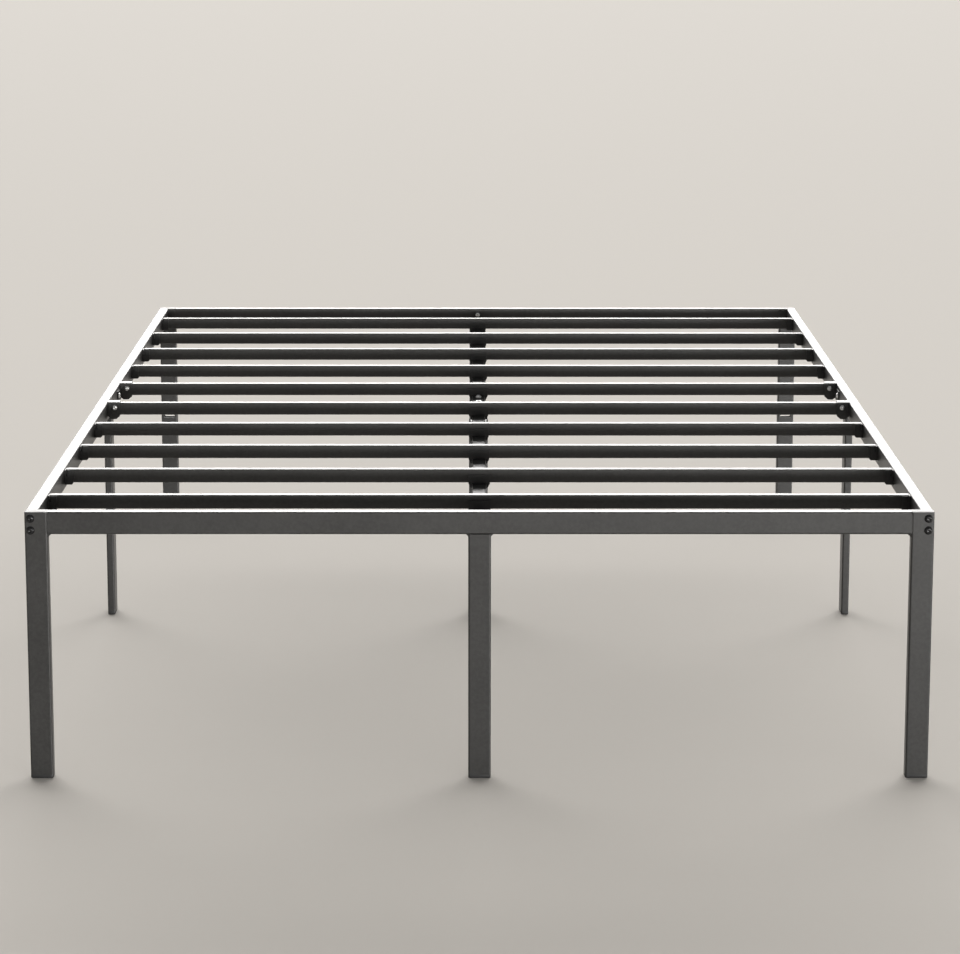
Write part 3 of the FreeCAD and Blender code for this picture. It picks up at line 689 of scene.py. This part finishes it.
def nut_set(name, node, axis, width, bore):
    """A nut in the place of each solid of a CAD part."""
    shells = []
    for low, high in solid_boxes(node):
        height = abs((high - low) @ axis)
        shells.append(nut((low + high) / 2 - axis * height / 2, axis, height, width, bore))
    piece(name, node, shells)


nut_set("joint_nut_set", "joint_nuts", Y, 10 * MILLIMETRE, M6["radius"])
nut_set("beam_nut_set", "beam_nuts", -Z, 13 * MILLIMETRE, M8["radius"])

# %% [markdown]
# ## Feet and plugs
# Every leg ends in a moulded cap: a sole with a rounded edge, flush with the tube, and a hollow
# stem that holds inside it. The corner legs have a flat plug in their open tops. Both are the
# tube's own outline, a rectangle with round corners, drawn again and again at other heights and
# other insets. Walking up the outside, over the rim and down the inside gives the stem its wall.

# %% Outlines stacked into caps and plugs
TUBE_CORNER = 3.0 * MILLIMETRE
LEAST_CORNER = 0.6 * MILLIMETRE
STEM_INSET = 1.45 * MILLIMETRE
STEM_WALL = 2.0 * MILLIMETRE
CORNER_STEPS = 6
ROUND_STEPS = 5


def stacked(low, high, stations):
    """A loft of rectangles with round corners about the middle of a box. stations has a row
    (height, inset) for each; the inset is taken off the half sizes and off the corner radius.

    A corner is an arc about its centre: the four arcs together turn once, 90 degrees each."""
    height, inset = np.array(stations).T[:, :, None]
    quarter = np.repeat(np.arange(4), CORNER_STEPS + 1)
    angle = np.pi / 2 * (quarter + np.tile(np.linspace(0, 1, CORNER_STEPS + 1), 4))
    sign_x = np.array([1, -1, -1, 1])[quarter]
    sign_y = np.array([1, 1, -1, -1])[quarter]
    middle = (low + high) / 2
    half = (high - low) / 2
    radius = np.maximum(TUBE_CORNER - inset, LEAST_CORNER)
    return loft(np.stack([
        middle[0] + sign_x * (half[0] - inset - radius) + radius * np.cos(angle),
        middle[1] + sign_y * (half[1] - inset - radius) + radius * np.sin(angle),
        height + 0 * angle], axis=-1))


def quarter_round(radius, from_height, up):
    """Stations round an edge: at the start the inset is the radius and the face is level, at
    the end the inset is none and the face is a wall. up is 1 for a sole, -1 for a top."""
    turns = np.linspace(0, np.pi / 2, ROUND_STEPS)
    return [(from_height + up * radius * (1 - math.cos(turn)), radius * (1 - math.sin(turn)))
            for turn in turns]


# %% Foot caps
SOLE_HEIGHT = 6.0 * MILLIMETRE
SOLE_ROUNDING = 2.0 * MILLIMETRE
RIM_ROUNDING = 0.35 * MILLIMETRE


def foot_cap(low, high):
    """A cap in a box: up over the rounded sole to the shoulder that the tube stands on, then up
    the outside of the stem and down its inside to the same level."""
    sole = quarter_round(SOLE_ROUNDING, low[2], 1)
    rim = quarter_round(RIM_ROUNDING, low[2] + SOLE_HEIGHT, -1)[::-1]
    inside = STEM_INSET + STEM_WALL
    shoulder = low[2] + SOLE_HEIGHT
    stem = [(shoulder, STEM_INSET), (high[2], STEM_INSET), (high[2], inside), (shoulder, inside)]
    return stacked(low, high, sole + rim + stem)


for name, node in (("end_feet", "end_foot_caps"), ("side_feet", "middle_foot_caps"),
                   ("centre_foot", "centre_foot_cap")):
    piece(name, node, [foot_cap(low, high) for low, high in solid_boxes(node)])

# %% Plugs in the tops of the corner legs
FLANGE_HEIGHT = 1.5 * MILLIMETRE
FLANGE_ROUNDING = 0.6 * MILLIMETRE


def leg_plug(low, high):
    """A plug in a box: down the inside of its stem, up the outside, then out under the flange
    and up over its rounded edge."""
    inside = STEM_INSET + STEM_WALL
    shoulder = high[2] - FLANGE_HEIGHT
    stem = [(shoulder, inside), (low[2], inside), (low[2], STEM_INSET), (shoulder, STEM_INSET)]
    flange = [(shoulder, 0)] + quarter_round(FLANGE_ROUNDING, high[2], -1)[::-1]
    return stacked(low, high, stem + flange)


piece("corner_leg_plugs", "leg_top_plugs",
      [leg_plug(low, high) for low, high in solid_boxes("leg_top_plugs")])

# %% [markdown]
# ## Mouldings and folded steel
# The slat holders and saddles are mouldings with small round edges everywhere, and the brackets
# are folded from plate, so their bends are round too. Their shapes are already right in CAD;
# only the edges are too sharp to catch the light. We copy the CAD mesh, join its loose
# triangles, dissolve the ones that lie in one plane, and let a Bevel modifier round what is
# left. Bevel needs that clean-up: it would otherwise stop at every triangle's corner.

# %% Rounded copies of CAD parts
import bmesh

FLAT_ANGLE = math.radians(1)


def rounded_copy(name, node, rounding):
    """A piece with a CAD part's shape, its edges rounded by that radius in metres."""
    points, triangles = joined_triangles(node)
    obj = piece(name, node, [(points, triangles.tolist())], rounding)
    shape = bmesh.new()
    shape.from_mesh(obj.data)
    bmesh.ops.dissolve_limit(shape, angle_limit=FLAT_ANGLE, verts=shape.verts, edges=shape.edges)
    for face in shape.faces:
        face.smooth = len(face.verts) <= SMOOTH_CORNERS
    shape.to_mesh(obj.data)
    shape.free()


MOULDED_EDGE = 0.5 * MILLIMETRE
FOLDED_EDGE = 0.25 * MILLIMETRE
for side in ("left", "right"):
    rounded_copy("slat_cradles_" + side, "slat_holders_" + side, MOULDED_EDGE)
    for station in ("front", "rear"):
        place = station + "_" + side
        rounded_copy("joint_sleeve_" + place, "joint_bracket_" + place, FOLDED_EDGE)
rounded_copy("slat_saddles", "beam_saddles", MOULDED_EDGE)
rounded_copy("folded_channel", "beam_channel", FOLDED_EDGE)
for end in ("foot", "head"):
    rounded_copy("beam_end_plate_" + end, "beam_bracket_" + end, FOLDED_EDGE)

# %% [markdown]
# ## The studio
# The bed stands on a pale floor. Its black coat shows mostly what it mirrors, so the light is
# planned for its reflections. Low light from behind the head end skims over the level tops and
# makes them shine nearly white. A second low light, a narrow one in front and to the right, lifts
# the front faces just enough to tell them from the shadows between them, the right ones most. It
# lies so close to the horizon that each slat shades the next one's front, so the slats stay
# darker than the foot rail.
#
# A lamp near the bed would also leave a pool of light on the floor. The sky has no place, only
# directions, so both lights are soft bright bands in the World, worked out from the direction
# that a ray looks in. The floor then stays even however far it reaches. Camera rays see a plain
# pale tone instead of the bands.

# %% Floor
FLOOR_REACH = 60.0
FLOOR_TONE = (0.60, 0.575, 0.54, 1.0)


def studio_floor():
    """One square, far wider than any view, at the height of the soles."""
    corners = FLOOR_REACH * np.array([(-1, -1, 0), (1, -1, 0), (1, 1, 0), (-1, 1, 0)])
    mesh = bpy.data.meshes.new("studio_floor")
    mesh.from_pydata(corners.tolist(), [], [(0, 1, 2, 3)])
    obj = bpy.data.objects.new("studio_floor", mesh)
    bpy.context.scene.collection.objects.link(obj)
    paper = Finish("pale matt floor", Base_Color=FLOOR_TONE, Roughness=0.95,
                   Specular_IOR_Level=0.1)
    mesh.materials.append(paper.material)
    print("the floor reaches", FLOOR_REACH, "m each way")


studio_floor()

# %% The sky and its two bands of light
SKY_TONE = (0.30, 0.295, 0.287, 1.0)
SEEN_TONE = (0.76, 0.725, 0.67, 1.0)
BAND_EDGE = 0.06
WINDOW = {"towards": (0.0, 1.0, 0.0), "low": 0.07, "high": 0.50, "near": 0.55, "far": 0.80}
WINDOW_TONE = (10.5, 10.3, 10.05, 1.0)
FILL = {"towards": (0.62, -0.785, 0.0), "low": -0.06, "high": 0.03, "near": 0.74, "far": 0.97}
FILL_TONE = (64.0, 63.5, 62.1, 1.0)


class Sky(Finish):
    """The World's node tree, with the same helpers as a finish."""

    def __init__(self, name):
        world = bpy.data.worlds.new(name)
        world.use_nodes = True
        bpy.context.scene.world = world
        self.tree = world.node_tree
        self.background = self.tree.nodes["Background"]
        self.direction = self.node("ShaderNodeTexCoord", output="Generated")

    def band(self, towards, low, high, near, far):
        """1 in a band of the sky: a direction's Z lies between low and high, and its cosine to
        one side has grown from near to far."""
        rise = self.axis(self.direction, "Z")
        facing = self.node("ShaderNodeVectorMath", {"operation": "DOT_PRODUCT"},
                           {0: self.direction, 1: towards}, output="Value")
        return (rise.between(low, low + BAND_EDGE)
                * (1 - rise.between(high, high + BAND_EDGE))
                * facing.between(near, far))


def studio_sky():
    """A dim plain sky, one band blended in after the other, and a plain tone for the camera."""
    sky = Sky("studio sky")
    tone = sky.mixed(sky.band(**WINDOW), SKY_TONE, WINDOW_TONE)
    tone = sky.mixed(sky.band(**FILL), tone, FILL_TONE)
    seen = sky.node("ShaderNodeLightPath", output="Is Camera Ray")
    sky.tree.links.new(sky.mixed(seen, tone, SEEN_TONE).socket, sky.background.inputs["Color"])
    print("the sky has a band towards", WINDOW["towards"], "and one towards", FILL["towards"])


studio_sky()

# %% [markdown]
# ## The camera
# The view is from beyond the foot end, a little above the bed, through a long lens. The lens is
# shifted down, as a view camera's is, which keeps the legs nearly upright in the view.

# %% Camera
SENSOR_WIDTH = 36.0
LENS = 103.2
LENS_SHIFT = -0.20
CAMERA_PLACE = (-0.0115, -5.452, 1.561)
CAMERA_DIP = math.radians(9.2)
CAMERA_TURN = math.radians(0.146)
CAMERA_ROLL = math.radians(-0.04)


def view_camera():
    camera = bpy.data.cameras.new("view_camera")
    camera.sensor_width = SENSOR_WIDTH
    camera.lens = LENS
    camera.shift_y = LENS_SHIFT
    obj = bpy.data.objects.new("view_camera", camera)
    bpy.context.scene.collection.objects.link(obj)
    obj.location = CAMERA_PLACE
    obj.rotation_euler = (math.pi / 2 - CAMERA_DIP, CAMERA_ROLL, -CAMERA_TURN)
    bpy.context.scene.camera = obj
    print("the camera stands at", CAMERA_PLACE, "with a lens of", LENS, "mm")


view_camera()
bpy.context.scene.view_settings.view_transform = "Standard"
